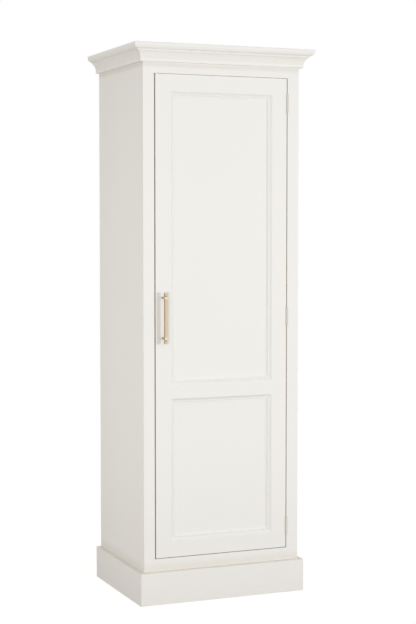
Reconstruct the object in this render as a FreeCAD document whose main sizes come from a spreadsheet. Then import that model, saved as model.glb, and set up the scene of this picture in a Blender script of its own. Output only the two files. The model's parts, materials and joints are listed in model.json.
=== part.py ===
# Broom cupboard: a tall painted cupboard with one inset door, a moulded cornice and a planted plinth.
# Millimetres, +Z up, front towards -Y, origin on the floor under the middle of the whole cupboard.
import FreeCAD, Part
import os
import re
import Sketcher

SIZES = {
    # Whole cupboard, over the carcass and up to the top of the cornice
    "cabinet_width": 670.0,
    "cabinet_depth": 535.0,
    "cabinet_height": 2203.0,
    # Carcass boards
    "board_thickness": 18.0,
    "carcass_drop": 13.0,
    "back_thickness": 9.0,
    "back_rebate": 9.0,
    "back_play": 0.3,
    "back_screw_inset": 60.0,
    "base_cleat_width": 18.0,
    "base_cleat_height": 30.0,
    "wall_rail_height": 90.0,
    "wall_hole_spacing": 400.0,
    "wall_hole_radius": 3.5,
    # Face frame round the door opening
    "joinery_thickness": 22.0,
    "latch_frame_width": 46.0,
    "hinge_frame_width": 49.25,
    "opening_bottom": 179.9,
    "frame_top_rail_height": 101.2,
    "frame_bottom_rail_height": 100.0,
    "arris_radius": 1.2,
    # Door framing and the gaps round it
    "latch_gap": 5.2,
    "hinge_gap": 3.6,
    "top_gap": 1.1,
    "bottom_gap": 2.2,
    "door_stile_width": 64.1,
    "door_top_rail_width": 66.2,
    "door_middle_rail_width": 56.0,
    "door_bottom_rail_width": 66.2,
    "lower_panel_height": 566.7,
    # Flat door panels in their grooves
    "panel_thickness": 6.0,
    "panel_setback": 12.0,
    "panel_play": 0.1,
    "groove_depth": 9.0,
    "panel_float": 1.0,
    # Section of the moulding round each panel: a bevel, a quirk, a bead and a fillet
    "moulding_width": 19.5,
    "moulding_reveal": 0.5,
    "moulding_flat": 1.0,
    "moulding_bevel_width": 9.0,
    "moulding_bevel_level": 4.0,
    "moulding_quirk": 0.8,
    "moulding_bead_width": 5.2,
    "moulding_bead_level": 3.2,
    "moulding_fillet_level": 2.2,
    # Section of the cornice: a foot, a cove, a fillet, an ovolo and a lip
    "cornice_height": 71.0,
    "cornice_projection": 50.0,
    "cornice_foot_projection": 14.5,
    "cornice_foot_height": 11.0,
    "cornice_cove_width": 16.0,
    "cornice_cove_height": 29.0,
    "cornice_fillet_width": 1.5,
    "cornice_fillet_height": 5.0,
    "cornice_lip_height": 8.0,
    "cornice_lip_round": 5.0,
    # Plinth boards
    "plinth_height": 130.0,
    "plinth_thickness": 20.0,
    "plinth_corner_radius": 5.0,
    "plinth_arris_radius": 3.0,
    # Butt hinges
    "hinge_height": 75.0,
    "top_hinge_setback": 99.7,
    "bottom_hinge_setback": 89.9,
    "knuckle_radius": 3.5,
    "knuckle_standoff": 0.3,
    "knuckle_gap": 0.3,
    "knuckle_clearance": 0.4,
    "hinge_pin_radius": 1.75,
    "hinge_pin_clearance": 0.05,
    "pin_tip_radius": 2.8,
    "pin_tip_height": 2.0,
    "leaf_thickness": 2.1,
    "leaf_parting": 0.6,
    "leaf_backset": 4.0,
    "mortise_clearance": 0.2,
    # Countersunk wood screws
    "screw_head_radius": 3.0,
    "screw_head_height": 1.6,
    "screw_shank_radius": 1.5,
    "screw_slot_width": 0.8,
    "screw_slot_depth": 0.6,
    "screw_clearance": 0.1,
    "screw_grip": 12.0,
    "hinge_screw_spacing": 24.0,
    # Bar handle on two posts
    "handle_length": 202.0,
    "handle_centres": 160.0,
    "handle_inset": 31.3,
    "handle_level": 952.9,
    "handle_standoff": 28.2,
    "handle_radius": 7.0,
    "handle_cap_round": 2.0,
    "handle_groove_depth": 2.0,
    "handle_groove_length": 3.4,
    "handle_collar_length": 11.0,
    "handle_collar_swell": 1.2,
    "handle_collar_crown": 2.0,
    "handle_post_radius": 4.75,
    "handle_socket_depth": 3.0,
    "handle_socket_clearance": 0.05,
    "handle_screw_radius": 2.0,
    "handle_screw_head_radius": 4.0,
    "handle_screw_head_height": 2.4,
    # Magnetic catches and their strike plates
    "catch_setback": 150.0,
    "catch_height": 46.0,
    "catch_depth": 13.0,
    "catch_reach": 15.0,
    "catch_margin": 1.0,
    "catch_gap": 0.3,
    "catch_screw_spacing": 28.0,
    "strike_thickness": 1.8,
    "strike_width": 15.0,
    "strike_height": 42.0,
    "strike_inset": 1.5,
    # Shelf on pins, with a peg rail below it
    "shelf_headroom": 380.0,
    "shelf_setback": 25.0,
    "shelf_play": 0.5,
    "shelf_pin_radius": 2.5,
    "shelf_pin_clearance": 0.05,
    "shelf_pin_depth": 10.0,
    "shelf_pin_reach": 10.0,
    "shelf_pin_inset": 60.0,
    "peg_rail_drop": 190.0,
    "peg_rail_height": 90.0,
    "peg_spacing": 150.0,
    "peg_length": 78.0,
    "peg_shoulder_radius": 10.0,
    "peg_neck_radius": 7.0,
    "peg_neck_length": 50.0,
    "peg_head_radius": 12.0,
    "peg_head_round": 5.0,
    "peg_spigot_radius": 6.0,
    "peg_spigot_depth": 12.0,
    "peg_clearance": 0.05,
    # How far a cut runs past the wood that it takes away
    "cut_overrun": 2.0,
}
KNUCKLE_COUNT = 5
LEAF_SCREW_COUNT = 3
BACK_SCREW_ROWS = 6
PEG_COUNT = 4
NEAR = 0.001
MITRE_ANGLE = 45
QUARTER_TURN = 90
HALF_TURN = 180
FULL_TURN = 360

# Places worked out from the sizes, as formulas in the cupboard's frame
HALF_WIDTH = "(cabinet_width / 2)"
FACE = "(-(cabinet_depth - cornice_projection) / 2)"
REAR = f"({FACE} + cabinet_depth)"
FRAME_BACK = f"({FACE} + joinery_thickness)"
INNER_REAR = f"({REAR} - back_thickness)"
RAIL_FRONT = f"({INNER_REAR} - board_thickness)"
INNER_LEFT = f"(-{HALF_WIDTH} + board_thickness)"
INNER_RIGHT = f"({HALF_WIDTH} - board_thickness)"
INNER_WIDTH = "(cabinet_width - 2 * board_thickness)"
CARCASS_TOP = "(cabinet_height - carcass_drop)"
CORNICE_BOTTOM = "(cabinet_height - cornice_height)"
BASE_UNDERSIDE = "(opening_bottom - board_thickness)"
TOP_UNDERSIDE = f"({CARCASS_TOP} - board_thickness)"
OPENING_LEFT = f"(-{HALF_WIDTH} + latch_frame_width)"
OPENING_RIGHT = f"({HALF_WIDTH} - hinge_frame_width)"
OPENING_WIDTH = "(cabinet_width - latch_frame_width - hinge_frame_width)"
OPENING_TOP = f"({CARCASS_TOP} - frame_top_rail_height)"

DOOR_LEFT = f"({OPENING_LEFT} + latch_gap)"
DOOR_RIGHT = f"({OPENING_RIGHT} - hinge_gap)"
DOOR_BOTTOM = "(opening_bottom + bottom_gap)"
DOOR_TOP = f"({OPENING_TOP} - top_gap)"
DOOR_HEIGHT = f"({DOOR_TOP} - {DOOR_BOTTOM})"
SIGHT_LEFT = f"({DOOR_LEFT} + door_stile_width)"
SIGHT_RIGHT = f"({DOOR_RIGHT} - door_stile_width)"
SIGHT_WIDTH = f"({SIGHT_RIGHT} - {SIGHT_LEFT})"
LOWER_SIGHT_BOTTOM = f"({DOOR_BOTTOM} + door_bottom_rail_width)"
LOWER_SIGHT_TOP = f"({LOWER_SIGHT_BOTTOM} + lower_panel_height)"
UPPER_SIGHT_BOTTOM = f"({LOWER_SIGHT_TOP} + door_middle_rail_width)"
UPPER_SIGHT_TOP = f"({DOOR_TOP} - door_top_rail_width)"
PANEL_FACE = f"({FACE} + panel_setback)"
PANEL_LAP = "(groove_depth - panel_float)"

HINGE_X = f"({OPENING_RIGHT} - hinge_gap / 2)"
HINGE_Y = f"({FACE} - knuckle_radius - knuckle_standoff)"
LEAF_FRONT = f"({HINGE_Y} + knuckle_radius + knuckle_clearance)"
LEAF_BACK = f"({FRAME_BACK} - leaf_backset)"
LEAF_SCREW_Y = f"(({LEAF_FRONT} + {LEAF_BACK}) / 2)"
MORTISE_DEPTH = "(leaf_parting / 2 + leaf_thickness - hinge_gap / 2)"
TOP_HINGE = f"({DOOR_TOP} - top_hinge_setback)"
BOTTOM_HINGE = f"({DOOR_BOTTOM} + bottom_hinge_setback)"
HINGE_LEVELS = {
    "upper": TOP_HINGE,
    "middle": f"(({TOP_HINGE} + {BOTTOM_HINGE}) / 2)",
    "lower": BOTTOM_HINGE,
}

HANDLE_X = f"({DOOR_LEFT} + handle_inset)"
HANDLE_Z = f"({DOOR_BOTTOM} + handle_level)"
HANDLE_POST_LEVELS = {
    "upper": f"({HANDLE_Z} + handle_centres / 2)",
    "lower": f"({HANDLE_Z} - handle_centres / 2)",
}

CATCH_LEVELS = {
    "upper": f"({DOOR_TOP} - catch_setback)",
    "lower": f"({DOOR_BOTTOM} + catch_setback)",
}
CATCH_LEFT = f"({INNER_LEFT} + catch_margin)"
CATCH_FOOT_WIDTH = "(latch_frame_width - board_thickness - 2 * catch_margin)"
CATCH_FRONT = f"({FRAME_BACK} + strike_thickness + catch_gap)"
CATCH_BACK = f"({CATCH_FRONT} + catch_depth)"
CATCH_SCREW_X = f"({CATCH_LEFT} + {CATCH_FOOT_WIDTH} / 2)"
STRIKE_LEFT = f"({DOOR_LEFT} + strike_inset)"

SHELF_TOP = f"({TOP_UNDERSIDE} - shelf_headroom)"
SHELF_UNDERSIDE = f"({SHELF_TOP} - board_thickness)"
SHELF_FRONT = f"({FRAME_BACK} + shelf_setback)"
SHELF_PIN_Z = f"({SHELF_UNDERSIDE} - shelf_pin_radius)"
SHELF_PIN_ROWS = (f"({SHELF_FRONT} + shelf_pin_inset)", f"({INNER_REAR} - shelf_pin_inset)")
PEG_Z = f"({SHELF_UNDERSIDE} - peg_rail_drop)"
PEG_COLUMNS = [f"({index} - {PEG_COUNT - 1} / 2) * peg_spacing" for index in range(PEG_COUNT)]
WALL_HOLE_Z = f"({TOP_UNDERSIDE} - wall_rail_height / 2)"
WALL_HOLE_COLUMNS = ("-wall_hole_spacing / 2", "wall_hole_spacing / 2")
BACK_SCREW_COLUMNS = {
    "left": f"({INNER_LEFT} - back_rebate / 2)",
    "right": f"({INNER_RIGHT} + back_rebate / 2)",
}
BACK_SCREW_STEP = f"(({CARCASS_TOP} - {BASE_UNDERSIDE} - 2 * back_screw_inset) / {BACK_SCREW_ROWS - 1})"
BACK_SCREW_LEVELS = [
    f"({BASE_UNDERSIDE} + back_screw_inset + {row} * {BACK_SCREW_STEP})" for row in range(BACK_SCREW_ROWS)
]

PILOT_RADIUS = "(screw_shank_radius + screw_clearance)"
PILOT_DEPTH = "(screw_grip + screw_clearance)"

ABOUT_X = FreeCAD.Vector(1, 0, 0)
ABOUT_Y = FreeCAD.Vector(0, 1, 0)
ABOUT_Z = FreeCAD.Vector(0, 0, 1)
UPRIGHT = FreeCAD.Rotation()
# Turns that lay a round feature, made along Z, along another axis
ALONG = {
    "+X": FreeCAD.Rotation(ABOUT_Y, QUARTER_TURN),
    "-X": FreeCAD.Rotation(ABOUT_Y, -QUARTER_TURN),
    "+Y": FreeCAD.Rotation(ABOUT_X, -QUARTER_TURN),
    "-Y": FreeCAD.Rotation(ABOUT_X, QUARTER_TURN),
    "+Z": UPRIGHT,
}

doc = FreeCAD.newDocument("broom_cupboard")
sheet = doc.addObject("Spreadsheet::Sheet", "sizes")
for row, (alias, size) in enumerate(SIZES.items(), 1):
    sheet.set(f"A{row}", alias)
    sheet.set(f"B{row}", str(size))
    sheet.setAlias(f"B{row}", alias)
doc.recompute()
pieces = []


def formula(text):
    """The text with each named size read from the sheet."""
    return re.sub(r"[a-z][a-z_]+", lambda word: f"sizes.{word[0]}" if word[0] in SIZES else word[0], text)


def amount(text):
    """The number that a formula gives now."""
    return float(sheet.evalExpression(formula(text)))


def bind(thing, **properties):
    for name, text in properties.items():
        thing.setExpression(name, formula(text))


def place(thing, point, turn=UPRIGHT):
    thing.Placement = FreeCAD.Placement(FreeCAD.Vector(), turn)
    for axis, text in zip("xyz", point):
        thing.setExpression(f".Placement.Base.{axis}", formula(text))


def primitive(kind, **properties):
    thing = doc.addObject(f"Part::{kind}", kind)
    bind(thing, **properties)
    return thing


def arc_middle(corner, far, heading):
    """Middle of the arc that leaves corner along heading and ends at far."""
    sideways = FreeCAD.Vector(-heading.y, heading.x, 0)
    chord = far - corner
    reach = chord.dot(chord) / (2 * chord.dot(sideways))
    centre = corner + sideways * reach
    outwards = (corner - centre).normalize() + (far - centre).normalize()
    return centre + outwards.normalize() * abs(reach)


class Piece:
    """A sub-part in a body of its own, placed at its corner.

    Features of an unturned piece are given in the cupboard's frame, those of a turned one in its own.
    """

    def __init__(self, label, corner, turn=None, own_node=True):
        self.body = doc.addObject("PartDesign::Body", label)
        self.body.Label = label
        self.datum = corner if turn is None else ("0", "0", "0")
        place(self.body, corner, UPRIGHT if turn is None else turn)
        if own_node:
            pieces.append(self.body)

    def feature(self, kind, point, turn=UPRIGHT, **properties):
        item = self.body.newObject(f"PartDesign::{kind}", kind)
        bind(item, **properties)
        place(item, [f"({there}) - ({here})" for there, here in zip(point, self.datum)], turn)
        return item

    def add_box(self, corner, size):
        self.feature("AdditiveBox", corner, Length=size[0], Width=size[1], Height=size[2])

    def cut_box(self, corner, size, turn=UPRIGHT):
        self.feature("SubtractiveBox", corner, turn, Length=size[0], Width=size[1], Height=size[2])

    def drill(self, mouth, axis, radius, depth):
        self.feature("SubtractiveCylinder", mouth, ALONG[axis], Radius=radius, Height=depth)

    def countersink(self, mouth, axis, depth):
        """A hole for a wood screw, with its countersink at the mouth."""
        wide = "screw_head_radius + screw_clearance"
        cone = {"Radius1": wide, "Radius2": PILOT_RADIUS, "Height": "screw_head_height"}
        self.feature("SubtractiveCone", mouth, ALONG[axis], **cone)
        self.drill(mouth, axis, PILOT_RADIUS, depth)

    def outline(self, role, corners, arcs=()):
        """A closed sketch through the corners; arcs gives, by edge, the end that runs on smoothly."""
        sketch = self.body.newObject("Sketcher::SketchObject", "Outline")
        plane = next(item for item in self.body.Origin.OriginFeatures if item.Role == role)
        sketch.AttachmentSupport = (plane, [""])
        sketch.MapMode = "FlatFace"
        points = [FreeCAD.Vector(amount(x), amount(y), 0) for x, y in corners]
        count = len(points)
        arcs = dict(arcs)
        ends = []
        for edge in range(count):
            before, start, end, after = (points[(edge + step) % count] for step in (-1, 0, 1, 2))
            if arcs.get(edge) == "start":
                curve = Part.Arc(start, arc_middle(start, end, (start - before).normalize()), end)
            elif arcs.get(edge) == "end":
                curve = Part.Arc(start, arc_middle(end, start, (end - after).normalize()), end)
            else:
                curve = Part.LineSegment(start, end)
            sketch.addGeometry(curve)
            ends.append((1, 2) if sketch.getPoint(edge, 1).isEqual(start, NEAR) else (2, 1))
        for edge, (x, y) in enumerate(corners):
            following = (edge + 1) % count
            smooth = arcs.get(edge) == "end" or arcs.get(following) == "start"
            joint = "Tangent" if smooth else "Coincident"
            first = ends[edge][0]
            last = ends[edge][1]
            sketch.addConstraint(Sketcher.Constraint(joint, edge, last, following, ends[following][0]))
            for kind, text in (("DistanceX", x), ("DistanceY", y)):
                number = sketch.addConstraint(Sketcher.Constraint(kind, edge, first, amount(text)))
                sketch.setExpression(f"Constraints[{number}]", formula(text))
        return sketch

    def pad(self, sketch, length):
        feature = self.body.newObject("PartDesign::Pad", "Pad")
        feature.Profile = sketch
        bind(feature, Length=length)
        return feature

    def revolve(self, sketch):
        feature = self.body.newObject("PartDesign::Revolution", "Turning")
        feature.Profile = sketch
        feature.ReferenceAxis = (sketch, ["V_Axis"])
        feature.Angle = FULL_TURN
        return feature

    def round_edges(self, radius, chosen):
        """Round the edges whose middle, in the piece's own frame, is a chosen one."""
        doc.recompute()
        tip = self.body.Tip
        edges = enumerate(tip.Shape.Edges, 1)
        names = [f"Edge{number}" for number, edge in edges if chosen(edge.CenterOfMass)]
        feature = self.body.newObject("PartDesign::Fillet", "Arris")
        feature.Base = (tip, names)
        bind(feature, Radius=radius)


def board(label, corner, size):
    piece = Piece(label, corner)
    piece.add_box(corner, size)
    return piece


def group(label, members):
    """Identical small pieces, kept as separate solids under one name."""
    compound = doc.addObject("Part::Compound", label)
    compound.Label = label
    compound.Links = members
    pieces.append(compound)


def wood_screw(mouth, axis, length):
    """A slotted countersunk screw whose head is flush with its mouth."""
    head_radii = {"Radius1": "screw_head_radius", "Radius2": "screw_shank_radius"}
    head = primitive("Cone", Height="screw_head_height", **head_radii)
    shank = primitive("Cylinder", Radius="screw_shank_radius", Height=f"{length} - screw_head_height")
    place(shank, ("0", "0", "screw_head_height"))
    blank = primitive("Fuse")
    blank.Base = head
    blank.Tool = shank
    slot = primitive("Box", Length="2 * screw_head_radius", Width="screw_slot_width")
    bind(slot, Height="screw_slot_depth")
    place(slot, ("-screw_head_radius", "-screw_slot_width / 2", "0"))
    screw = primitive("Cut")
    screw.Base = blank
    screw.Tool = slot
    place(screw, mouth, ALONG[axis])
    return screw


# Carcass

def side_panel(label, outer_x, rebate_x, inner_x, hand, outwards):
    """A side board with a rebate for the back and blind holes for the shelf pins."""
    depth = "cabinet_depth - joinery_thickness"
    panel = board(label, (outer_x, FRAME_BACK, "0"), ("board_thickness", depth, CARCASS_TOP))
    rebate_height = f"{CARCASS_TOP} - {BASE_UNDERSIDE} + cut_overrun"
    rebate_size = ("back_rebate + cut_overrun", "back_thickness + cut_overrun", rebate_height)
    panel.cut_box((rebate_x, INNER_REAR, BASE_UNDERSIDE), rebate_size)
    for y in SHELF_PIN_ROWS:
        hole_radius = "shelf_pin_radius + shelf_pin_clearance"
        panel.drill((inner_x, y, SHELF_PIN_Z), outwards, hole_radius, "shelf_pin_depth")
    for z in BACK_SCREW_LEVELS:
        mouth = (BACK_SCREW_COLUMNS[hand], INNER_REAR, z)
        panel.drill(mouth, "-Y", PILOT_RADIUS, PILOT_DEPTH)


side_panel("left_side_panel", f"-{HALF_WIDTH}", f"{INNER_LEFT} - back_rebate", INNER_LEFT, "left", "-X")
side_panel("right_side_panel", INNER_RIGHT, f"{INNER_RIGHT} - cut_overrun", INNER_RIGHT, "right", "+X")

board_depth = f"{INNER_REAR} - {FRAME_BACK}"
board("base_board", (INNER_LEFT, FRAME_BACK, BASE_UNDERSIDE), (INNER_WIDTH, board_depth, "board_thickness"))
board("top_board", (INNER_LEFT, FRAME_BACK, TOP_UNDERSIDE), (INNER_WIDTH, board_depth, "board_thickness"))
rear_rail_front = f"({REAR} - board_thickness)"
rear_rail_size = (INNER_WIDTH, "board_thickness", BASE_UNDERSIDE)
board("plinth_back_rail", (INNER_LEFT, rear_rail_front, "0"), rear_rail_size)
cleat_size = ("base_cleat_width", f"{rear_rail_front} - {FRAME_BACK}", "base_cleat_height")
cleat_bottom = f"{BASE_UNDERSIDE} - base_cleat_height"
board("base_cleat_left", (INNER_LEFT, FRAME_BACK, cleat_bottom), cleat_size)
board("base_cleat_right", (f"{INNER_RIGHT} - base_cleat_width", FRAME_BACK, cleat_bottom), cleat_size)

back_lap = "(back_rebate - back_play)"
back_panel = board(
    "back_panel",
    (f"{INNER_LEFT} - {back_lap}", INNER_REAR, BASE_UNDERSIDE),
    (f"{INNER_WIDTH} + 2 * {back_lap}", "back_thickness", f"{CARCASS_TOP} - {BASE_UNDERSIDE}"),
)
wall_rail_corner = (INNER_LEFT, RAIL_FRONT, f"{TOP_UNDERSIDE} - wall_rail_height")
wall_rail_size = (INNER_WIDTH, "board_thickness", "wall_rail_height")
wall_rail = board("wall_fixing_rail", wall_rail_corner, wall_rail_size)
for x in WALL_HOLE_COLUMNS:
    wall_rail.drill((x, RAIL_FRONT, WALL_HOLE_Z), "+Y", "wall_hole_radius", "board_thickness")
    back_panel.drill((x, INNER_REAR, WALL_HOLE_Z), "+Y", "wall_hole_radius", "back_thickness")
back_screws = []
for x in BACK_SCREW_COLUMNS.values():
    for z in BACK_SCREW_LEVELS:
        back_panel.countersink((x, REAR, z), "-Y", "back_thickness")
        back_screws.append(wood_screw((x, REAR, z), "-Y", "(back_thickness + screw_grip)"))
group("back_panel_screws", back_screws)

# Face frame

latch_frame_size = ("latch_frame_width", "joinery_thickness", CARCASS_TOP)
left_stile = board("frame_left_stile", (f"-{HALF_WIDTH}", FACE, "0"), latch_frame_size)
left_stile.round_edges("arris_radius", lambda middle: max(middle.x, middle.y) < NEAR)

hinge_frame_size = ("hinge_frame_width", "joinery_thickness", CARCASS_TOP)
right_stile = board("frame_right_stile", (OPENING_RIGHT, FACE, "0"), hinge_frame_size)
hinge_frame_width = amount("hinge_frame_width")
right_stile.round_edges("arris_radius", lambda middle: max(hinge_frame_width - middle.x, middle.y) < NEAR)

top_rail_size = (OPENING_WIDTH, "joinery_thickness", "frame_top_rail_height")
board("frame_top_rail", (OPENING_LEFT, FACE, OPENING_TOP), top_rail_size)
bottom_rail_size = (OPENING_WIDTH, "joinery_thickness", "frame_bottom_rail_height")
bottom_rail_foot = "opening_bottom - frame_bottom_rail_height"
board("frame_bottom_rail", (OPENING_LEFT, FACE, bottom_rail_foot), bottom_rail_size)

# Cornice and panel mouldings

# Angle of the cutting block at each end of a moulding, and the side of the heel that it starts from
OUTSIDE_MITRE = {"start": (HALF_TURN - MITRE_ANGLE, "+"), "end": (-MITRE_ANGLE, "-")}
INSIDE_MITRE = {"start": (MITRE_ANGLE, "-"), "end": (MITRE_ANGLE, "+")}

CORNICE_COVE_TOP = "(cornice_foot_height + cornice_cove_height)"
CORNICE_COVE_EDGE = "(cornice_foot_projection + cornice_cove_width)"
CORNICE_FILLET_EDGE = f"({CORNICE_COVE_EDGE} + cornice_fillet_width)"
CORNICE_SECTION = [
    ("0", "0"),
    ("cornice_foot_projection", "0"),
    ("cornice_foot_projection", "cornice_foot_height"),
    (CORNICE_COVE_EDGE, CORNICE_COVE_TOP),
    (CORNICE_FILLET_EDGE, CORNICE_COVE_TOP),
    (CORNICE_FILLET_EDGE, f"{CORNICE_COVE_TOP} + cornice_fillet_height"),
    ("cornice_projection", "cornice_height - cornice_lip_height"),
    ("cornice_projection", "cornice_height - cornice_lip_round"),
    ("cornice_projection - cornice_lip_round", "cornice_height"),
    ("0", "cornice_height"),
]
CORNICE_ARCS = {2: "start", 5: "end", 7: "start"}

BEVEL_FOOT = "(moulding_flat + moulding_bevel_width)"
BEAD_START = f"({BEVEL_FOOT} + moulding_quirk)"
BEAD_END = f"({BEAD_START} + moulding_bead_width)"
MOULDING_HEIGHT = "(panel_setback - moulding_reveal)"
MOULDING_SECTION = [
    ("0", "0"),
    ("0", MOULDING_HEIGHT),
    ("moulding_flat", MOULDING_HEIGHT),
    (BEVEL_FOOT, "moulding_bevel_level"),
    (BEAD_START, "moulding_bevel_level"),
    (BEAD_END, "moulding_bead_level"),
    (BEAD_END, "moulding_fillet_level"),
    ("moulding_width", "moulding_fillet_level"),
    ("moulding_width", "0"),
]
MOULDING_ARCS = {4: "end"}


def mitre(piece, heel, cut, width, height):
    """Cut one end of a moulding, which runs along its own X and projects along Y, at 45 degrees."""
    angle, side = cut
    reach = f"2 * ({width} + 2 * cut_overrun)"
    corner = (f"{heel} {side} cut_overrun", "-cut_overrun", "-cut_overrun")
    piece.cut_box(corner, (reach, reach, f"{height} + 2 * cut_overrun"), FreeCAD.Rotation(ABOUT_Z, angle))


def cornice(label, corner, angle, run, mitred_ends):
    """A length of cornice, longer at its lip than at its back by the mitre at each mitred end."""
    piece = Piece(label, corner, FreeCAD.Rotation(ABOUT_Z, angle))
    section = piece.outline("YZ_Plane", CORNICE_SECTION, CORNICE_ARCS)
    if "start" in mitred_ends:
        section.setExpression(".AttachmentOffset.Base.z", formula("-cornice_projection"))
    piece.pad(section, f"{run} + {len(mitred_ends)} * cornice_projection")
    heels = {"start": "0", "end": run}
    for end in mitred_ends:
        mitre(piece, heels[end], OUTSIDE_MITRE[end], "cornice_projection", "cornice_height")


front_right_corner = (HALF_WIDTH, FACE, CORNICE_BOTTOM)
front_left_corner = (f"-{HALF_WIDTH}", FACE, CORNICE_BOTTOM)
rear_right_corner = (HALF_WIDTH, REAR, CORNICE_BOTTOM)
cornice("cornice_front", front_right_corner, HALF_TURN, "cabinet_width", ("start", "end"))
cornice("cornice_left", front_left_corner, QUARTER_TURN, "cabinet_depth", ("start",))
cornice("cornice_right", rear_right_corner, -QUARTER_TURN, "cabinet_depth", ("end",))


def panel_moulding(label, corner, angle, run):
    """A length of panel moulding, with its back on the door framing and its foot on the panel."""
    turn = FreeCAD.Rotation(ABOUT_Y, angle) * FreeCAD.Rotation(ABOUT_X, QUARTER_TURN)
    piece = Piece(label, corner, turn)
    piece.pad(piece.outline("YZ_Plane", MOULDING_SECTION, MOULDING_ARCS), run)
    for end, heel in (("start", "0"), ("end", run)):
        mitre(piece, heel, INSIDE_MITRE[end], "moulding_width", MOULDING_HEIGHT)


PANEL_SIGHTS = {
    "upper": (UPPER_SIGHT_BOTTOM, UPPER_SIGHT_TOP),
    "lower": (LOWER_SIGHT_BOTTOM, LOWER_SIGHT_TOP),
}
for name, (bottom, top) in PANEL_SIGHTS.items():
    sight_height = f"({top} - {bottom})"
    lengths = {
        "bottom": ((SIGHT_LEFT, PANEL_FACE, bottom), 0, SIGHT_WIDTH),
        "left": ((SIGHT_LEFT, PANEL_FACE, top), QUARTER_TURN, sight_height),
        "top": ((SIGHT_RIGHT, PANEL_FACE, top), HALF_TURN, SIGHT_WIDTH),
        "right": ((SIGHT_RIGHT, PANEL_FACE, bottom), -QUARTER_TURN, sight_height),
    }
    for side, (corner, angle, run) in lengths.items():
        panel_moulding(f"{name}_panel_moulding_{side}", corner, angle, run)

# Plinth, mitred at its rounded front corners

ROUND_START = "(plinth_corner_radius - plinth_thickness)"
ROUND_MIDDLE = "(plinth_corner_radius * (1 - sqrt(2) / 2) - plinth_thickness)"
plinth_outside = amount(ROUND_START)


def plinth_board(label, corner, plan, arcs, chosen):
    piece = Piece(label, corner)
    piece.pad(piece.outline("XY_Plane", plan, arcs), "plinth_height")
    top = amount("plinth_height")
    piece.round_edges("plinth_arris_radius", lambda middle: middle.z > top - NEAR and chosen(middle))


def plinth_side(label, corner_x, hand):
    plan = [
        ("0", "0"),
        ("0", "cabinet_depth"),
        (f"{hand} * plinth_thickness", "cabinet_depth"),
        (f"{hand} * plinth_thickness", ROUND_START),
        (f"{hand} * -{ROUND_MIDDLE}", ROUND_MIDDLE),
    ]
    outer = -plinth_outside
    plinth_board(label, (corner_x, FACE, "0"), plan, {3: "start"}, lambda middle: middle.x * hand > outer)


front_plan = [
    ("0", "0"),
    (ROUND_MIDDLE, ROUND_MIDDLE),
    (ROUND_START, "-plinth_thickness"),
    (f"cabinet_width - {ROUND_START}", "-plinth_thickness"),
    (f"cabinet_width - {ROUND_MIDDLE}", ROUND_MIDDLE),
    ("cabinet_width", "0"),
]
front_corner = (f"-{HALF_WIDTH}", FACE, "0")
front_arcs = {1: "end", 3: "start"}
plinth_board("plinth_front", front_corner, front_plan, front_arcs, lambda middle: middle.y < plinth_outside)
plinth_side("plinth_left", f"-{HALF_WIDTH}", -1)
plinth_side("plinth_right", HALF_WIDTH, 1)


# Door framing and panels

def panel_groove(piece, corner_x, corner_z, width, height):
    size = (width, "panel_thickness + 2 * panel_play", height)
    piece.cut_box((corner_x, f"{PANEL_FACE} - panel_play", corner_z), size)


def door_stile(label, left, groove_left, is_outer):
    """A door stile, rounded on its outer arrises and grooved for both panels."""
    piece = board(label, (left, FACE, DOOR_BOTTOM), ("door_stile_width", "joinery_thickness", DOOR_HEIGHT))
    piece.round_edges("arris_radius", lambda middle: middle.y < NEAR and is_outer(middle.x))
    for bottom, top in PANEL_SIGHTS.values():
        length = f"{top} - {bottom} + 2 * groove_depth"
        panel_groove(piece, groove_left, f"{bottom} - groove_depth", "groove_depth + cut_overrun", length)
    return piece


def door_rail(label, bottom, width):
    return board(label, (SIGHT_LEFT, FACE, bottom), (SIGHT_WIDTH, "joinery_thickness", width))


stile_width = amount("door_stile_width")
latch_groove_left = f"{SIGHT_LEFT} - groove_depth"
hinge_groove_left = f"{SIGHT_RIGHT} - cut_overrun"
latch_stile = door_stile("door_latch_stile", DOOR_LEFT, latch_groove_left, lambda x: x < stile_width - NEAR)
hinge_stile = door_stile("door_hinge_stile", SIGHT_RIGHT, hinge_groove_left, lambda x: x > NEAR)

door_top_rail = door_rail("door_top_rail", UPPER_SIGHT_TOP, "door_top_rail_width")
top_rail_width = amount("door_top_rail_width")
door_top_rail.round_edges("arris_radius", lambda middle: max(middle.y, top_rail_width - middle.z) < NEAR)
door_middle_rail = door_rail("door_middle_rail", LOWER_SIGHT_TOP, "door_middle_rail_width")
door_bottom_rail = door_rail("door_bottom_rail", DOOR_BOTTOM, "door_bottom_rail_width")
door_bottom_rail.round_edges("arris_radius", lambda middle: max(middle.y, middle.z) < NEAR)
groove_height = "groove_depth + cut_overrun"
for rail, sight_edge in ((door_top_rail, UPPER_SIGHT_TOP), (door_middle_rail, LOWER_SIGHT_TOP)):
    panel_groove(rail, SIGHT_LEFT, f"{sight_edge} - cut_overrun", SIGHT_WIDTH, groove_height)
for rail, sight_edge in ((door_middle_rail, UPPER_SIGHT_BOTTOM), (door_bottom_rail, LOWER_SIGHT_BOTTOM)):
    panel_groove(rail, SIGHT_LEFT, f"{sight_edge} - groove_depth", SIGHT_WIDTH, groove_height)

for name, (bottom, top) in PANEL_SIGHTS.items():
    panel_corner = (f"{SIGHT_LEFT} - {PANEL_LAP}", PANEL_FACE, f"{bottom} - {PANEL_LAP}")
    panel_width = f"{SIGHT_WIDTH} + 2 * {PANEL_LAP}"
    panel_height = f"{top} - {bottom} + 2 * {PANEL_LAP}"
    board(f"door_{name}_panel", panel_corner, (panel_width, "panel_thickness", panel_height))


# Hinges

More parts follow.
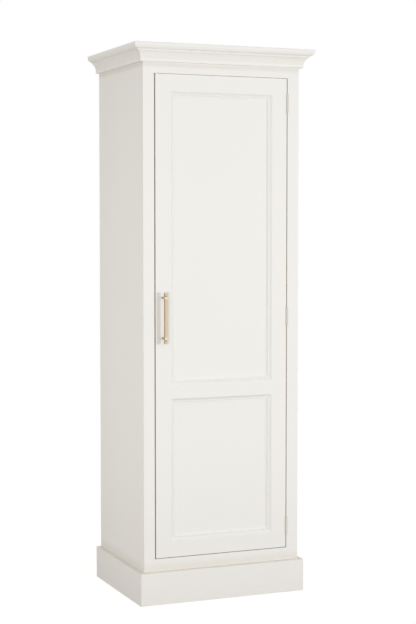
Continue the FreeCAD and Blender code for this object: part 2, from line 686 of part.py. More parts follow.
def hinge_leaf(label, level, leaf_left, slots):
    """A leaf with its own knuckles on the barrel, cut back round the knuckles of the other leaf."""
    bottom = f"({level} - hinge_height / 2)"
    plate_size = ("leaf_thickness", f"{LEAF_BACK} - {LEAF_FRONT}", "hinge_height")
    piece = board(label, (leaf_left, LEAF_FRONT, bottom), plate_size)
    knuckle_height = f"hinge_height / {KNUCKLE_COUNT} - knuckle_gap"
    arm_size = ("leaf_thickness", f"{LEAF_FRONT} - {HINGE_Y}", knuckle_height)
    for slot in slots:
        start = f"{bottom} + {slot} * hinge_height / {KNUCKLE_COUNT} + knuckle_gap / 2"
        piece.add_box((leaf_left, HINGE_Y, start), arm_size)
        barrel_foot = (HINGE_X, HINGE_Y, start)
        piece.feature("AdditiveCylinder", barrel_foot, Radius="knuckle_radius", Height=knuckle_height)
    piece.drill((HINGE_X, HINGE_Y, bottom), "+Z", "hinge_pin_radius + hinge_pin_clearance", "hinge_height")
    return piece


def hinge_pin(label, level):
    """A pin the height of the barrel, with a button at each end."""
    bottom = f"({level} - hinge_height / 2)"
    piece = Piece(label, (HINGE_X, HINGE_Y, bottom))
    barrel_foot = (HINGE_X, HINGE_Y, bottom)
    piece.feature("AdditiveCylinder", barrel_foot, Radius="hinge_pin_radius", Height="hinge_height")
    tip = {"Radius": "pin_tip_radius", "Height": "pin_tip_height"}
    for foot in (f"{bottom} - pin_tip_height", f"{bottom} + hinge_height"):
        piece.feature("AdditiveCylinder", (HINGE_X, HINGE_Y, foot), **tip)


def fit_leaf(stile, leaf, level, side, mortise_left):
    """Let a leaf into the edge of its stile and screw it there; side is the way from pin to wood."""
    mortise_bottom = f"{level} - hinge_height / 2 - mortise_clearance"
    mortise_corner = (mortise_left, f"{FACE} - cut_overrun", mortise_bottom)
    mortise_depth = f"{LEAF_BACK} - {FACE} + cut_overrun + mortise_clearance"
    mortise_size = (f"{MORTISE_DEPTH} + cut_overrun", mortise_depth, "hinge_height + 2 * mortise_clearance")
    stile.cut_box(mortise_corner, mortise_size)
    leaf_face = f"({HINGE_X} {side} leaf_parting / 2)"
    seat = f"({leaf_face} {side} leaf_thickness)"
    screws = []
    for index in range(LEAF_SCREW_COUNT):
        z = f"{level} + ({index} - {LEAF_SCREW_COUNT - 1} / 2) * hinge_screw_spacing"
        leaf.countersink((leaf_face, LEAF_SCREW_Y, z), f"{side}X", "leaf_thickness")
        stile.drill((seat, LEAF_SCREW_Y, z), f"{side}X", PILOT_RADIUS, PILOT_DEPTH)
        screws.append(wood_screw((leaf_face, LEAF_SCREW_Y, z), f"{side}X", "(leaf_thickness + screw_grip)"))
    return screws


frame_leaf_left = f"({HINGE_X} + leaf_parting / 2)"
door_leaf_left = f"({HINGE_X} - leaf_parting / 2 - leaf_thickness)"
frame_screws = []
door_screws = []
for name, level in HINGE_LEVELS.items():
    frame_leaf = hinge_leaf(f"{name}_hinge_frame_leaf", level, frame_leaf_left, range(0, KNUCKLE_COUNT, 2))
    door_leaf = hinge_leaf(f"{name}_hinge_door_leaf", level, door_leaf_left, range(1, KNUCKLE_COUNT, 2))
    hinge_pin(f"{name}_hinge_pin", level)
    frame_screws += fit_leaf(right_stile, frame_leaf, level, "+", f"{OPENING_RIGHT} - cut_overrun")
    door_screws += fit_leaf(hinge_stile, door_leaf, level, "-", f"{DOOR_RIGHT} - {MORTISE_DEPTH}")
group("hinge_frame_screws", frame_screws)
group("hinge_door_screws", door_screws)

# Handle

HANDLE_END = "(handle_length / 2)"
COLLAR_INNER = "(handle_centres / 2 - handle_collar_length / 2)"
COLLAR_OUTER = "(handle_centres / 2 + handle_collar_length / 2)"
COLLAR_RADIUS = "(handle_radius + handle_collar_swell)"
GROOVE_RADIUS = "(handle_radius - handle_groove_depth)"
GROOVE_OUTER = f"({COLLAR_OUTER} + handle_groove_length)"
# Outline of one half of the bar, from the middle to the end: a swelled collar, a groove and a rounded cap
HALF_BAR = [
    ("handle_radius", COLLAR_INNER),
    (COLLAR_RADIUS, "(handle_centres / 2 - handle_collar_crown / 2)"),
    (COLLAR_RADIUS, "(handle_centres / 2 + handle_collar_crown / 2)"),
    ("handle_radius", COLLAR_OUTER),
    (GROOVE_RADIUS, COLLAR_OUTER),
    (GROOVE_RADIUS, GROOVE_OUTER),
    ("handle_radius", GROOVE_OUTER),
    ("handle_radius", f"({HANDLE_END} - handle_cap_round)"),
    ("handle_radius - handle_cap_round", HANDLE_END),
    ("0", HANDLE_END),
]
HALF_BAR_ARCS = {0: "end", 2: "start", 7: "start"}
OTHER_END = {"start": "end", "end": "start"}

handle_bar = Piece("handle_bar", (HANDLE_X, f"{FACE} - handle_standoff", HANDLE_Z), UPRIGHT)
half_count = len(HALF_BAR)
lower_half = [(radius, f"-{height}") for radius, height in reversed(HALF_BAR)]
bar_arcs = {half_count + edge: end for edge, end in HALF_BAR_ARCS.items()}
bar_arcs.update({half_count - 2 - edge: OTHER_END[end] for edge, end in HALF_BAR_ARCS.items()})
handle_bar.revolve(handle_bar.outline("XZ_Plane", lower_half + HALF_BAR, bar_arcs))

post_length = "handle_standoff - handle_radius + handle_socket_depth"
socket_mouth = f"{COLLAR_RADIUS} + cut_overrun"
socket_reach = "handle_collar_swell + cut_overrun + handle_socket_depth + handle_socket_clearance"
socket_radius = "handle_post_radius + handle_socket_clearance"
bolt_hole_radius = "handle_screw_radius + screw_clearance"
bolt_length = "joinery_thickness + screw_grip"
handle_screws = []
for name, level in HANDLE_POST_LEVELS.items():
    handle_bar.drill(("0", socket_mouth, f"{level} - {HANDLE_Z}"), "-Y", socket_radius, socket_reach)
    post = Piece(f"handle_{name}_post", (HANDLE_X, FACE, level), ALONG["-Y"])
    post.feature("AdditiveCylinder", ("0", "0", "0"), Radius="handle_post_radius", Height=post_length)
    post.drill(("0", "0", "0"), "+Z", bolt_hole_radius, PILOT_DEPTH)
    latch_stile.drill((HANDLE_X, FACE, level), "+Y", bolt_hole_radius, "joinery_thickness")
    bolt_head = primitive("Cylinder", Radius="handle_screw_head_radius", Height="handle_screw_head_height")
    bolt_shank = primitive("Cylinder", Radius="handle_screw_radius", Height=bolt_length)
    place(bolt_shank, ("0", "0", "handle_screw_head_height"))
    bolt = primitive("Fuse")
    bolt.Base = bolt_head
    bolt.Tool = bolt_shank
    place(bolt, (HANDLE_X, f"{FRAME_BACK} + handle_screw_head_height", level), ALONG["-Y"])
    handle_screws.append(bolt)
group("handle_screws", handle_screws)

# Magnetic catches on the frame and strike plates on the door

catch_screws = []
strike_screws = []
strike_middle = f"({STRIKE_LEFT} + strike_width / 2)"
strike_back = f"({FRAME_BACK} + strike_thickness)"
for name, level in CATCH_LEVELS.items():
    catch_bottom = f"{level} - catch_height / 2"
    catch = Piece(f"{name}_catch", (CATCH_LEFT, FRAME_BACK, catch_bottom))
    foot_size = (CATCH_FOOT_WIDTH, f"{CATCH_FRONT} - {FRAME_BACK}", "catch_height")
    catch.add_box((CATCH_LEFT, FRAME_BACK, catch_bottom), foot_size)
    magnet_size = (f"{OPENING_LEFT} + catch_reach - {CATCH_LEFT}", "catch_depth", "catch_height")
    catch.add_box((CATCH_LEFT, CATCH_FRONT, catch_bottom), magnet_size)
    strike_corner = (STRIKE_LEFT, FRAME_BACK, f"{level} - strike_height / 2")
    strike_size = ("strike_width", "strike_thickness", "strike_height")
    strike = board(f"{name}_strike_plate", strike_corner, strike_size)
    for z in (f"{level} - catch_screw_spacing / 2", f"{level} + catch_screw_spacing / 2"):
        catch.countersink((CATCH_SCREW_X, CATCH_BACK, z), "-Y", f"{CATCH_BACK} - {FRAME_BACK}")
        left_stile.drill((CATCH_SCREW_X, FRAME_BACK, z), "-Y", PILOT_RADIUS, PILOT_DEPTH)
        catch_length = f"({CATCH_BACK} - {FRAME_BACK} + screw_grip)"
        catch_screws.append(wood_screw((CATCH_SCREW_X, CATCH_BACK, z), "-Y", catch_length))
        strike.countersink((strike_middle, strike_back, z), "-Y", "strike_thickness")
        latch_stile.drill((strike_middle, FRAME_BACK, z), "-Y", PILOT_RADIUS, PILOT_DEPTH)
        strike_length = "(strike_thickness + screw_grip)"
        strike_screws.append(wood_screw((strike_middle, strike_back, z), "-Y", strike_length))
group("catch_screws", catch_screws)
group("strike_screws", strike_screws)

# Shelf on its pins, and the peg rail

shelf_size = (f"{INNER_WIDTH} - 2 * shelf_play", f"{INNER_REAR} - {SHELF_FRONT}", "board_thickness")
board("shelf", (f"{INNER_LEFT} + shelf_play", SHELF_FRONT, SHELF_UNDERSIDE), shelf_size)
shelf_pins = []
for x in (f"{INNER_LEFT} - shelf_pin_depth", f"{INNER_RIGHT} - shelf_pin_reach"):
    for y in SHELF_PIN_ROWS:
        pin = primitive("Cylinder", Radius="shelf_pin_radius", Height="shelf_pin_depth + shelf_pin_reach")
        place(pin, (x, y, SHELF_PIN_Z), ALONG["+X"])
        shelf_pins.append(pin)
group("shelf_pins", shelf_pins)

PEG_SECTION = [
    ("0", "-peg_spigot_depth"),
    ("peg_spigot_radius", "-peg_spigot_depth"),
    ("peg_spigot_radius", "0"),
    ("peg_shoulder_radius", "0"),
    ("peg_neck_radius", "peg_neck_length"),
    ("peg_head_radius", "peg_length - 2 * peg_head_round"),
    ("peg_head_radius", "peg_length - peg_head_round"),
    ("peg_head_radius - peg_head_round", "peg_length"),
    ("0", "peg_length"),
]
peg_rail_corner = (INNER_LEFT, RAIL_FRONT, f"{PEG_Z} - peg_rail_height / 2")
peg_rail = board("peg_rail", peg_rail_corner, (INNER_WIDTH, "board_thickness", "peg_rail_height"))
pegs = []
for number, x in enumerate(PEG_COLUMNS, 1):
    peg_hole_radius = "peg_spigot_radius + peg_clearance"
    peg_rail.drill((x, RAIL_FRONT, PEG_Z), "+Y", peg_hole_radius, "peg_spigot_depth + peg_clearance")
    peg = Piece(f"peg_{number}", (x, RAIL_FRONT, PEG_Z), ALONG["-Y"], own_node=False)
    peg.revolve(peg.outline("XZ_Plane", PEG_SECTION, {6: "start"}))
    pegs.append(peg.body)
group("broom_pegs", pegs)

# Every feature has to be sound before any piece is written
doc.recompute()
failed = [item.Label for item in doc.Objects if {"Invalid", "Error"} & set(item.State)]
failed += [piece.Label for piece in pieces if piece.Shape.isNull() or not piece.Shape.isValid()]
if failed:
    raise RuntimeError(f"failed features: {failed}")

os.makedirs("parts", exist_ok=True)
for piece in pieces:
    piece.Shape.exportStep(f"parts/{piece.Label}.step")
print(f"{len(pieces)} sub-parts written")
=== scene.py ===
# Broom cupboard: its finishes, and the light and camera that it is seen with.
# Metres, +Z up, front towards -Y, origin on the floor under the middle of the whole cupboard.
import json
import math
from functools import cache

import bmesh
import bpy
from mathutils import Euler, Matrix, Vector


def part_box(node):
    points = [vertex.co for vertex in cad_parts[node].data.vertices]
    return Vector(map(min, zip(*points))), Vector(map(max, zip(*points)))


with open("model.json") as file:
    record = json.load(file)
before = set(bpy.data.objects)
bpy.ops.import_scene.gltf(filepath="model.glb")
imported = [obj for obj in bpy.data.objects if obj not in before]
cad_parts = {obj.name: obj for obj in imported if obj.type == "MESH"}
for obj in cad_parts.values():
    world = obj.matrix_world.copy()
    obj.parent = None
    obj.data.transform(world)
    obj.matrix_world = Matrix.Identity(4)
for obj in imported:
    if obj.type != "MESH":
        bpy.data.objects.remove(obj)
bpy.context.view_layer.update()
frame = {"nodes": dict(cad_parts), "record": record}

# Colours, as the share of red, green and blue light that a surface sends back
WHITE = (1.0, 1.0, 1.0, 1.0)
EGGSHELL = (0.860, 0.852, 0.828, 1.0)
EGGSHELL_SHADE = (0.844, 0.836, 0.810, 1.0)
# Painted shade on faces that look up, above the plinth's ledge and round the cornice's foot
EGGSHELL_PAINTED_SHADE = (0.750, 0.726, 0.676, 1.0)
# Painted shade in the gap round the door
GAP_PAINTED_SHADE = (0.800, 0.745, 0.640, 1.0)
HINGE_PAINT = (0.740, 0.710, 0.645, 1.0)
HINGE_SHADE = (0.680, 0.650, 0.585, 1.0)
INSIDE_PAINT = (0.840, 0.828, 0.792, 1.0)
INSIDE_SHADE = (0.815, 0.802, 0.764, 1.0)
BRASS = (0.765, 0.620, 0.440, 1.0)
BRASS_SHADE = (0.700, 0.548, 0.375, 1.0)
# Painted shade on the handle's posts and in the grooves of its bar
BRASS_PAINTED_SHADE = (0.400, 0.290, 0.195, 1.0)
# Painted highlight on the handle's collars
BRASS_PAINTED_HIGHLIGHT = (0.930, 0.790, 0.540, 1.0)
ZINC = (0.620, 0.625, 0.630, 1.0)
ZINC_SHADE = (0.480, 0.485, 0.490, 1.0)
BIRCH = (0.640, 0.490, 0.325, 1.0)
BIRCH_GRAIN = (0.500, 0.350, 0.205, 1.0)
PINE = (0.660, 0.480, 0.280, 1.0)
PINE_GRAIN = (0.470, 0.280, 0.125, 1.0)
BEECH = (0.610, 0.415, 0.255, 1.0)
BEECH_FLECK = (0.470, 0.285, 0.155, 1.0)
CATCH_WHITE = (0.780, 0.775, 0.755, 1.0)
CATCH_SHADE = (0.730, 0.725, 0.700, 1.0)

AXES = "XYZ"


class Value:
    """A socket of a node tree, with arithmetic that adds Math nodes."""

    def __init__(self, shader, socket):
        self.shader = shader
        self.socket = socket

    def math(self, operation, *numbers):
        return self.shader.node("Math", {"operation": operation}, dict(enumerate(numbers)))

    def __add__(self, other):
        return self.math("ADD", self, other)

    def __sub__(self, other):
        return self.math("SUBTRACT", self, other)

    def __rsub__(self, other):
        return self.math("SUBTRACT", other, self)

    def __mul__(self, other):
        return self.math("MULTIPLY", self, other)

    def __gt__(self, other):
        return self.math("GREATER_THAN", self, other)

    def __lt__(self, other):
        return self.math("LESS_THAN", self, other)

    def __abs__(self):
        return self.math("ABSOLUTE", self)

    def __or__(self, other):
        return self.math("MAXIMUM", self, other)

    __radd__ = __add__
    __rmul__ = __mul__


class Shader:
    """A node tree, filled a node at a time."""

    def __init__(self, tree):
        self.tree = tree
        tree.nodes.clear()

    def node(self, kind, settings=None, sockets=None, output=0):
        """Add a node, make its settings, fill its sockets, and give one of its outputs."""
        made = self.tree.nodes.new(f"ShaderNode{kind}")
        settings = dict(settings or {})
        for number, (position, tone) in enumerate(settings.pop("stops", ())):
            made.color_ramp.elements[number].position = position
            made.color_ramp.elements[number].color = tone
        for name, setting in settings.items():
            setattr(made, name, setting)
        for name, value in (sockets or {}).items():
            if isinstance(value, Value):
                self.tree.links.new(value.socket, made.inputs[name])
            else:
                made.inputs[name].default_value = value
        return Value(self, made.outputs[output]) if made.outputs else made

    def place(self):
        return self.node("TexCoord", output="Object")

    def axis(self, name, vector=None):
        """One coordinate of a vector, which is the place on the object unless another is given."""
        return self.node("SeparateXYZ", {}, {"Vector": vector or self.place()}, output=name)

    def noise(self, scale, detail=2.0, where=None):
        """Cloudy values about a half, which repeat more often with a larger scale."""
        sockets = {"Vector": where or self.place(), "Scale": scale, "Detail": detail}
        return self.node("TexNoise", {}, sockets)

    def streaks(self, run, across, lengthways, detail=2.0):
        """Noise drawn out along an axis, by how often it repeats across and along it."""
        repeats = [lengthways if axis == run else across for axis in AXES]
        where = self.node("Mapping", {}, {"Vector": self.place(), "Scale": repeats})
        return self.noise(1.0, detail, where)

    def blend(self, share, first, second):
        """A colour between two colours."""
        sockets = {0: share, 6: first, 7: second}
        return self.node("Mix", {"data_type": "RGBA"}, sockets, output=2)

    def ramp(self, value, start, end):
        """A smooth climb from nought where the value is at the start to one where it is at the end."""
        sockets = {"Value": value, "From Min": start, "From Max": end}
        return self.node("MapRange", {"interpolation_type": "SMOOTHSTEP"}, sockets)

    def bump(self, height, strength, depth):
        return self.node("Bump", {}, {"Height": height, "Strength": strength, "Distance": depth})

    def surface(self, **sockets):
        """Join a principled surface to the output; an underscore in a name stands for a space."""
        named = {name.replace("_", " "): value for name, value in sockets.items()}
        shader = self.node("BsdfPrincipled", {}, named)
        self.node("OutputMaterial", {}, {"Surface": shader})


def between(share, low, high):
    """A number between two numbers, any of which may be a socket's value."""
    return low + share * (high - low)


def new_material(name):
    material = bpy.data.materials.new(name)
    material.use_nodes = True
    return material, Shader(material.node_tree)


# Paint, with painted shade on it

# The outline of the door, and the front and back of the joinery
DOOR_LOW = Vector((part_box("door_latch_stile")[0].x, 0.0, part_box("door_bottom_rail")[0].z))
DOOR_HIGH = Vector((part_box("door_hinge_stile")[1].x, 0.0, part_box("door_top_rail")[1].z))
DOOR_MIDDLE = (DOOR_LOW + DOOR_HIGH) / 2
DOOR_HALF = (DOOR_HIGH - DOOR_LOW) / 2
JOINERY_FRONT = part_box("door_top_rail")[0].y
JOINERY_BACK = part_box("door_top_rail")[1].y
# How near the door's edge the painted shade in the gap lies, how deep it begins and is whole, and how far
# from the back it ends
GAP_SHADE_REACH = 0.007
GAP_SHADE_DEPTH = (0.0005, 0.0030)
GAP_SHADE_END = 0.0003
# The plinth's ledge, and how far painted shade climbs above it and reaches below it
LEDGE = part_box("plinth_front")[1].z
LEDGE_SHADE_CLIMB = 0.045
LEDGE_SHADE_DROP = 0.003
# The slopes where painted shade on faces that look up begins and is whole, and how strong it is there
UPWARD_SHADE_SLOPES = (0.10, 0.45)
UPWARD_SHADE_SHARE = 0.32
# The cornice's foot, and how far painted shade climbs in the cove above it and how strong it is there
FOOT_HEIGHT = 0.011
FOOT_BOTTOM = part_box("cornice_front")[0].z
FOOT_TOP = FOOT_BOTTOM + FOOT_HEIGHT
COVE_SHADE_CLIMB = 0.024
COVE_SHADE_SHARE = 0.32
# The band of painted shade below the cornice's foot: how far down it comes in and goes out, and how strong
# it is
SHADE_BAND_START = (0.001, 0.008)
SHADE_BAND_END = (0.026, 0.010)
SHADE_BAND_SHARE = 0.65
# The share of brush strokes in the paint's tone, of stipple in its relief, and the spread of its roughness
STROKE_TONE = 0.3
STIPPLE_RELIEF = 0.35
PAINT_SPREAD = 0.05
PAINT_IOR = 1.48


def with_painted_shade(shader, tone):
    """Paint with painted shade on faces that look up, above the plinth's ledge, round the cornice's foot
    and in the gap round the door.
    """
    x, y, z = (shader.axis(name) for name in AXES)
    upward = shader.axis("Z", shader.node("NewGeometry", output="Normal"))
    # Painted shade on faces that look up, below the door's top
    facing_up = shader.ramp(upward, *UPWARD_SHADE_SLOPES) * (z < DOOR_HIGH.z) * UPWARD_SHADE_SHARE
    # Painted shade in the crease above the plinth's ledge
    above_ledge = shader.ramp(z, LEDGE + LEDGE_SHADE_CLIMB, LEDGE) * (z > LEDGE - LEDGE_SHADE_DROP)
    # Painted shade in the cornice's cove
    cove_shade = shader.ramp(z, FOOT_TOP + COVE_SHADE_CLIMB, FOOT_TOP) * (z > FOOT_TOP) * COVE_SHADE_SHARE
    below_foot = FOOT_BOTTOM - z
    # Painted shade in a band below the cornice's foot
    band_shade = shader.ramp(below_foot, *SHADE_BAND_START) * shader.ramp(below_foot, *SHADE_BAND_END) * SHADE_BAND_SHARE
    shaded_tone = shader.blend(facing_up | above_ledge | cove_shade | band_shade, tone, EGGSHELL_PAINTED_SHADE)
    # Painted shade in the gap round the door, on the edges behind the door's front
    beyond_door = (abs(x - DOOR_MIDDLE.x) - DOOR_HALF.x) | (abs(z - DOOR_MIDDLE.z) - DOOR_HALF.z)
    inside = shader.ramp(y - JOINERY_FRONT, *GAP_SHADE_DEPTH) * (y < JOINERY_BACK - GAP_SHADE_END)
    return shader.blend(inside * (abs(beyond_door) < GAP_SHADE_REACH), shaded_tone, GAP_PAINTED_SHADE)


def paint(name, run, colour, shade, roughness, outside=True):
    """Brushed paint: fine strokes along the board, a faint stipple and a slow drift of tone."""
    material, shader = new_material(name)
    strokes = shader.streaks(run, across=420.0, lengthways=7.0, detail=3.0)
    stipple = shader.noise(scale=560.0, detail=1.0)
    drift = shader.noise(scale=2.6)
    tone = shader.blend(between(STROKE_TONE, drift, strokes), colour, shade)
    relief = between(STIPPLE_RELIEF, strokes, stipple)
    shader.surface(
        Base_Color=with_painted_shade(shader, tone) if outside else tone,
        Roughness=between(strokes, roughness - PAINT_SPREAD, roughness + PAINT_SPREAD),
        Normal=shader.bump(relief, strength=0.20, depth=0.0002),
        IOR=PAINT_IOR,
    )
    return material


def eggshell_paint(run):
    return paint(f"eggshell_paint_{run}", run, EGGSHELL, EGGSHELL_SHADE, roughness=0.46)


def interior_paint(run):
    return paint(f"interior_paint_{run}", run, INSIDE_PAINT, INSIDE_SHADE, roughness=0.58, outside=False)


def painted_hinge(run):
    return paint(f"painted_hinge_{run}", run, HINGE_PAINT, HINGE_SHADE, roughness=0.38)


# Bare wood

# The values of the grain where pine is at its palest and at its darkest
PINE_STOPS = (0.35, 0.65)
# How deep the paint goes on the face of the back panel
PAINT_DEPTH = 0.0002
# The value of the flecks in beech above which they show
FLECK_LEVEL = 0.6


def bare_softwood(run):
    """Sawn pine: wandering growth rings and fine fibres along the board."""
    material, shader = new_material(f"bare_softwood_{run}")
    rings = shader.streaks(run, across=60.0, lengthways=1.6)
    fibres = shader.streaks(run, across=900.0, lengthways=20.0, detail=3.0)
    bands = shader.node("TexWave", {"wave_type": "RINGS"}, {"Vector": shader.place(), "Scale": 1.0})
    grain = rings * 0.6 + fibres * 0.25 + bands * 0.15
    stops = tuple(zip(PINE_STOPS, (PINE, PINE_GRAIN)))
    shader.surface(
        Base_Color=shader.node("ValToRGB", {"stops": stops}, {"Fac": grain}),
        Roughness=between(fibres, 0.66, 0.78),
        Normal=shader.bump(fibres, strength=0.3, depth=0.0004),
    )
    return material


def bare_plywood(run):
    """Plywood, painted on the face that shows inside and bare on its back and edges."""
    material, shader = new_material("bare_plywood")
    grain = shader.streaks(run, across=120.0, lengthways=2.2, detail=3.0)
    fibres = shader.streaks(run, across=1100.0, lengthways=25.0)
    bare = shader.blend(between(0.3, grain, fibres), BIRCH, BIRCH_GRAIN)
    is_bare = shader.axis("Y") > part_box("back_panel")[0].y + PAINT_DEPTH
    shader.surface(
        Base_Color=shader.blend(is_bare, INSIDE_PAINT, bare),
        Roughness=between(fibres, 0.60, 0.70),
        Normal=shader.bump(fibres, strength=0.2, depth=0.0003),
    )
    return material


def peg_beech():
    """Oiled beech with its short dark flecks, along the pegs."""
    material, shader = new_material("peg_beech")
    grain = shader.streaks("Y", across=260.0, lengthways=14.0)
    flecks = shader.streaks("Y", across=1400.0, lengthways=180.0, detail=1.0)
    shader.surface(
        Base_Color=shader.blend(grain * 0.5 + (flecks > FLECK_LEVEL) * 0.35, BEECH, BEECH_FLECK),
        Roughness=between(grain, 0.42, 0.52),
        Normal=shader.bump(flecks, strength=0.15, depth=0.0002),
    )
    return material


# Metal and plastic

# How far in front of the door painted shade on the handle's posts begins, and where it is whole
POST_SHADE_REACH = (0.020, 0.014)
# Where the groove near each end of the bar, with painted shade in it, begins and ends
GROOVE_START = 0.0118
GROOVE_END = 0.0158
# How far the collars, which carry a painted highlight and a lower roughness, are from the ends of the bar,
# and how far the highlight reaches
COLLAR_PLACE = 0.021
COLLAR_HIGHLIGHT_REACH = (0.0055, 0.0025)
COLLAR_POLISH = 0.10


def screw_steel():
    """Zinc-plated steel with a fine crystalline mottle."""
    material, shader = new_material("screw_steel")
    mottle = shader.noise(scale=420.0, detail=3.0)
    shader.surface(
        Base_Color=shader.blend(mottle, ZINC, ZINC_SHADE),
        Metallic=1.0,
        Roughness=between(mottle, 0.28, 0.46),
        Normal=shader.bump(mottle, strength=0.08, depth=0.0001),
    )
    return material


def satin_brass():
    """Brass with a satin brushed finish along the bar, a painted highlight and a lower roughness on the
    collars, and painted shade on the posts and in the grooves.
    """
    material, shader = new_material("satin_brass")
    lines = shader.streaks("Z", across=2600.0, lengthways=30.0, detail=3.0)
    clouds = shader.noise(scale=38.0)
    low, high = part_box("handle_bar")
    # Painted shade on the posts near the door
    on_post = shader.ramp(JOINERY_FRONT - shader.axis("Y"), *POST_SHADE_REACH)
    from_end = (high.z - low.z) / 2 - abs(shader.axis("Z") - (low.z + high.z) / 2)
    # Painted shade in the grooves
    in_groove = (from_end > GROOVE_START) * (from_end < GROOVE_END)
    # Painted highlight on the collars, which also get a lower roughness
    on_collar = shader.ramp(abs(from_end - COLLAR_PLACE), *COLLAR_HIGHLIGHT_REACH)
    brushed = shader.blend(between(0.5, lines, clouds), BRASS, BRASS_SHADE)
    highlighted = shader.blend(on_collar, brushed, BRASS_PAINTED_HIGHLIGHT)
    shader.surface(
        Base_Color=shader.blend(on_post | in_groove, highlighted, BRASS_PAINTED_SHADE),
        Metallic=1.0,
        Roughness=between(lines, 0.26, 0.40) - on_collar * COLLAR_POLISH,
        Normal=shader.bump(lines, strength=0.10, depth=0.00005),
    )
    return material


def catch_plastic():
    """Moulded plastic with a spark-eroded grain."""
    material, shader = new_material("catch_plastic")
    grain = shader.noise(scale=1800.0)
    shader.surface(
        Base_Color=shader.blend(grain, CATCH_WHITE, CATCH_SHADE),
        Roughness=between(grain, 0.48, 0.58),
        Normal=shader.bump(grain, strength=0.15, depth=0.0001),
    )
    return material


# Finishes that follow the run of a board, and finishes that are the same on every piece
RUN_FINISHES = {
    "eggshell_paint": eggshell_paint,
    "interior_paint": interior_paint,
    "bare_softwood": bare_softwood,
    "bare_plywood": bare_plywood,
    "painted_hinge": painted_hinge,
}
EVEN_FINISHES = {
    "peg_beech": peg_beech,
    "screw_steel": screw_steel,
    "satin_brass": satin_brass,
    "catch_plastic": catch_plastic,
}


def longest_run(node):
    low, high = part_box(node)
    sides = list(high - low)
    return AXES[sides.index(max(sides))]


@cache
def made(finish, *run):
    """The material of a finish, which is made once for each run."""
    return finish(*run)


for subpart in frame["record"]["subparts"]:
    node = subpart["node"]
    name = subpart["material_slot"]
    if name in RUN_FINISHES:
        material = made(RUN_FINISHES[name], longest_run(node))
    else:
        material = made(EVEN_FINISHES[name])
    for slot in frame["nodes"][node].material_slots:
        slot.material = material

# Floor and surroundings: white to the camera and in reflections, with the shadow kept close to the plinth

FLOOR_SIDE = 40.0
FLOOR_TONE = (0.36, 0.31, 0.25, 1.0)
FLOOR_SHADE = (0.34, 0.29, 0.23, 1.0)
# How far from the middle of the cupboard the shadow has gone, and where it is whole
SHADOW_REACH = (1.1, 0.55)
# The light that the floor sends out by itself near the cupboard, and the share that it sends back
SHADOW_GLOW = 0.90
SHADOW_SHARE = (0.16, 0.16, 0.16, 1.0)
CARD_PLACE = -1.3
CARD_FRONT = -0.50
CARD_REAR = 0.20
CARD_MARGIN = 0.8
CARD_BLACK = (0.010, 0.010, 0.010, 1.0)
CARD_GREY = (0.014, 0.014, 0.014, 1.0)
SKY_LIGHT = (0.640, 0.632, 0.619, 1.0)
GROUND_LIGHT = (0.472, 0.442, 0.400, 1.0)


def seen_directly(shader):
    """One where the camera or a reflection looks, and nought where light is gathered."""
    kinds = ("Camera", "Glossy", "Transmission")
    camera, glossy, transmission = (shader.node("LightPath", output=f"Is {kind} Ray") for kind in kinds)
    return camera | glossy | transmission


def floor_sweep():
    """A carpet to the light, and a white ground with the shadow on it to the camera."""
    material, shader = new_material("floor_sweep")
    distance = shader.node("VectorMath", {"operation": "LENGTH"}, {0: shader.place()}, output="Value")
    near = shader.ramp(distance, *SHADOW_REACH)
    speck = shader.noise(scale=300.0)
    carpet = shader.node("BsdfDiffuse", {}, {"Color": shader.blend(speck, FLOOR_TONE, FLOOR_SHADE)})
    matt = shader.node("MixShader", {}, {"Fac": near, 1: shader.node("BsdfTransparent"), 2: carpet})
    white = shader.node("Emission", {}, {"Color": WHITE, "Strength": 1.0})
    glow = shader.node("Emission", {}, {"Color": WHITE, "Strength": SHADOW_GLOW})
    catch = shader.node("BsdfDiffuse", {}, {"Color": SHADOW_SHARE})
    shaded = shader.node("AddShader", {}, {0: glow, 1: catch})
    shown = shader.node("MixShader", {}, {"Fac": near, 1: white, 2: shaded})
    mixed = shader.node("MixShader", {}, {"Fac": seen_directly(shader), 1: matt, 2: shown})
    shader.node("OutputMaterial", {}, {"Surface": mixed})
    return material


def black_card():
    material, shader = new_material("black_card")
    mottle = shader.noise(scale=60.0)
    shader.surface(Base_Color=shader.blend(mottle, CARD_BLACK, CARD_GREY), Roughness=0.8)
    return material


def add_object(name, form, material):
    """Put a form in the scene as an object of one material."""
    mesh = bpy.data.meshes.new(name)
    form.to_mesh(mesh)
    form.free()
    mesh.materials.append(material)
    added = bpy.data.objects.new(name, mesh)
    bpy.context.scene.collection.objects.link(added)
    return added


def make_floor():
    form = bmesh.new()
    bmesh.ops.create_grid(form, x_segments=1, y_segments=1, size=FLOOR_SIDE / 2)
    floor = add_object("floor", form, floor_sweep())


def make_dark_card():
    """A black card to the left of the handle, which only reflections show."""
    low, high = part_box("handle_bar")
    bottom = low.z - CARD_MARGIN
    top = high.z + CARD_MARGIN
    form = bmesh.new()
    for y, z in ((CARD_FRONT, top), (CARD_REAR, top), (CARD_REAR, bottom), (CARD_FRONT, bottom)):
        form.verts.new((CARD_PLACE, y, z))
    form.faces.new(form.verts)
    card = add_object("dark_card", form, black_card())
    card.visible_camera = False
    card.visible_diffuse = False
    card.visible_transmission = False
    card.visible_shadow = False


def make_surroundings():
    world = bpy.data.worlds.new("surroundings")
    world.use_nodes = True
    bpy.context.scene.world = world
    shader = Shader(world.node_tree)
    climb = shader.axis("Z", shader.node("TexCoord", output="Generated"))
    light = shader.node("Background", {}, {"Color": shader.blend(climb > 0.0, GROUND_LIGHT, SKY_LIGHT)})
    white = shader.node("Background", {}, {"Color": WHITE, "Strength": 1.0})
    mixed = shader.node("MixShader", {}, {"Fac": seen_directly(shader), 1: light, 2: white})
    shader.node("OutputWorld", {}, {"Surface": mixed})


make_floor()
make_surroundings()
make_dark_card()

# Studio lamps, each aimed at the middle of the cupboard

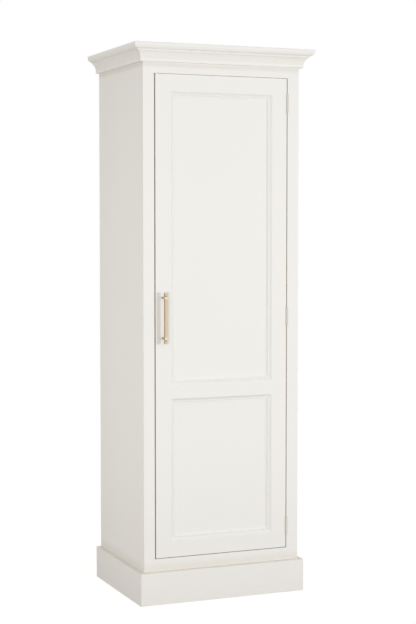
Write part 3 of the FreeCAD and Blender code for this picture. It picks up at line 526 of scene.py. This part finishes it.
LAMP_TARGET = Vector((0.0, 0.0, 1.1))
COOL_LIGHT = (0.96, 0.98, 1.0)
PLAIN_LIGHT = (1.0, 1.0, 1.0)
WARM_LIGHT = (1.0, 0.93, 0.83)
# Turn from the front to the right and lift in degrees, distance, width, height, watts and colour
LAMPS = {
    "key_lamp": (31.0, 2.0, 6.0, 0.62, 0.62, 106.0, COOL_LIGHT),
    "fill_lamp": (-34.0, 0.0, 6.0, 0.86, 0.86, 79.0, COOL_LIGHT),
    "high_lamp": (-14.0, 24.0, 4.0, 1.20, 1.20, 5.0, PLAIN_LIGHT),
    "left_lamp": (-85.0, -2.0, 1.3, 0.20, 2.10, 2.1, WARM_LIGHT),
}


def make_lamp(name, turn, lift, distance, width, height, watts, colour):
    data = bpy.data.lights.new(name, "AREA")
    data.shape = "RECTANGLE"
    data.size = width
    data.size_y = height
    data.energy = watts
    data.color = colour
    lamp = bpy.data.objects.new(name, data)
    lamp.visible_camera = False
    lamp.visible_glossy = False
    bpy.context.scene.collection.objects.link(lamp)
    turn = math.radians(turn)
    lift = math.radians(lift)
    away = Vector((math.sin(turn) * math.cos(lift), -math.cos(turn) * math.cos(lift), math.sin(lift)))
    lamp.location = LAMP_TARGET + away * distance
    lamp.rotation_euler = away.to_track_quat("Z", "Y").to_euler()


for name, settings in LAMPS.items():
    make_lamp(name, *settings)

# Camera

CAMERA_PLACE = Vector((-2.3302, -5.7075, 1.5040))
CAMERA_TURN = math.radians(-22.54)
CAMERA_TILT = math.radians(90.0 - 3.381)
CAMERA_LENS = 86.04
CAMERA_SENSOR = 36.0


def make_camera():
    data = bpy.data.cameras.new("camera")
    data.lens = CAMERA_LENS
    data.sensor_width = CAMERA_SENSOR
    camera = bpy.data.objects.new("camera", data)
    bpy.context.scene.collection.objects.link(camera)
    camera.location = CAMERA_PLACE
    camera.rotation_euler = Euler((CAMERA_TILT, 0.0, CAMERA_TURN))
    bpy.context.scene.camera = camera


make_camera()
bpy.context.scene.view_settings.view_transform = "Standard"
